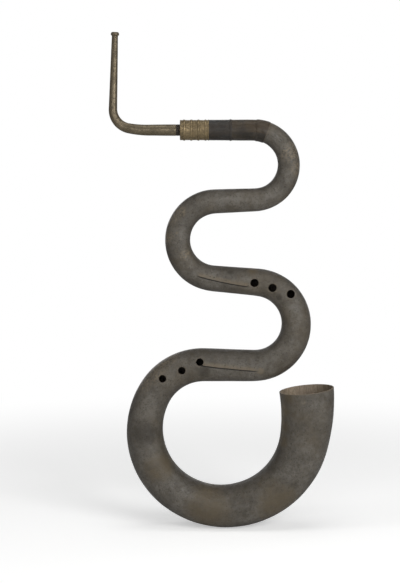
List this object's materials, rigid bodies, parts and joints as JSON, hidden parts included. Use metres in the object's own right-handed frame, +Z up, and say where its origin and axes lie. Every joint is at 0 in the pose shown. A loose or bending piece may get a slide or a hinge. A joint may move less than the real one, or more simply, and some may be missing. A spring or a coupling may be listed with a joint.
{
  "type": "serpent bass horn",
  "caption": "Wooden serpent bass horn in leather, a long conical tube in hairpin bends with finger holes, an open bell and a brass crook that slides and turns in its neck.",
  "frame": {"origin": "lowest point of the bottom bow's leather, in the middle plane of the tube", "axes": "+Z up towards the crook's end, +X towards the bell, -Y the front with the finger holes"},
  "size_m": [0.4573, 0.112, 1.0077],
  "materials": {
    "walnut": "matt, oiled and dry with age",
    "leather": "satin, worn brown-black hide",
    "neck_leather": "glossy, near black and wrinkled",
    "ferrule_brass": "patinated, rubbed bright on the beads",
    "crook_brass": "dark olive-brown patina, satin",
    "thread": "waxed dark thread"
  },
  "bodies": {
    "horn": {"front_shell_1": "walnut", "front_shell_2": "walnut", "front_shell_3": "walnut", "front_shell_4": "walnut", "front_shell_5": "walnut", "front_shell_6": "walnut", "back_shell_1": "walnut", "back_shell_2": "walnut", "back_shell_3": "walnut", "back_shell_4": "walnut", "back_shell_5": "walnut", "back_shell_6": "walnut", "bend_one_cover": "leather", "bend_two_cover": "leather", "bend_three_cover": "leather", "bow_fall_cover": "leather", "bow_low_cover": "leather", "bow_rise_cover": "leather", "bell_cover": "leather", "neck_cover": "leather", "seam_band": "leather", "neck_sleeve": "neck_leather", "ferrule": "ferrule_brass", "crook_socket": "ferrule_brass"},
    "tenon_stage": {"tenon_lapping": "thread"},
    "crook": {"crook_tube": "crook_brass", "mouthpiece_receiver": "crook_brass"}
  },
  "joints": [
    {"name": "tenon_slide", "type": "slide", "parent": "horn", "child": "tenon_stage", "axis": [-1, 0, 0], "range_m": [-0.008, 0.04]},
    {"name": "crook_turn", "type": "hinge", "parent": "tenon_stage", "child": "crook", "pos_m": [-0.09442, 0, 0.81362], "axis": [-1, 0, 0], "continuous": true}
  ]
}
